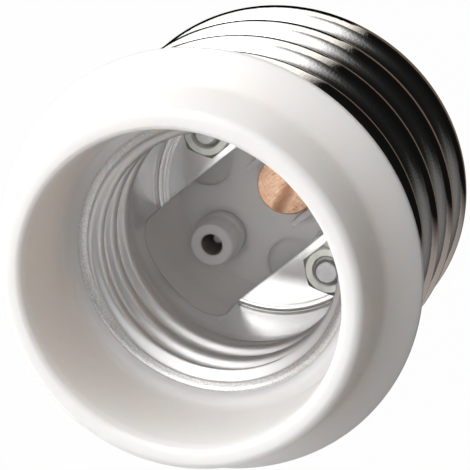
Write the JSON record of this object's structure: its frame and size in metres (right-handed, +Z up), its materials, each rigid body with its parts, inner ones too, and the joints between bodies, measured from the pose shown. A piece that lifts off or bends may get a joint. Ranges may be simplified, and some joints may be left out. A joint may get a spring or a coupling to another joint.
{
  "type": "lamp socket adapter",
  "caption": "Lamp socket adapter: white moulded housing with a flared flange, big rolled lamp thread outside and a smaller threaded cup with copper contact leaf inside",
  "frame": {"origin": "middle of the end contact's flat face, the lowest point of the object", "axes": "+Z up along the thread axis to the open mouth, +X towards the root of the copper leaf, the two fixing screws on +Y and -Y"},
  "size_m": [0.0436, 0.0436, 0.0505],
  "materials": {
    "white_moulding": "glossy white moulding",
    "satin_aluminium": "satin rolled sheet",
    "nickel_plate": "bright plated sheet",
    "copper": "brushed copper strip",
    "link_copper": "plain copper strip",
    "zinc_steel": "slightly yellow zinc plating",
    "bright_steel": "bright steel"
  },
  "bodies": {
    "root": {"housing": "white_moulding", "socket_shell": "satin_aluminium", "outer_shell": "nickel_plate", "base_insulator": "white_moulding", "centre_contact": "copper", "end_contact": "nickel_plate", "end_rivet": "nickel_plate", "tab_nut_a": "zinc_steel", "tab_nut_b": "zinc_steel", "tab_screw_a": "bright_steel", "tab_screw_b": "bright_steel", "lock_washer_a": "bright_steel", "lock_washer_b": "bright_steel", "shell_link": "link_copper", "base_screw": "zinc_steel"}
  },
  "joints": []
}
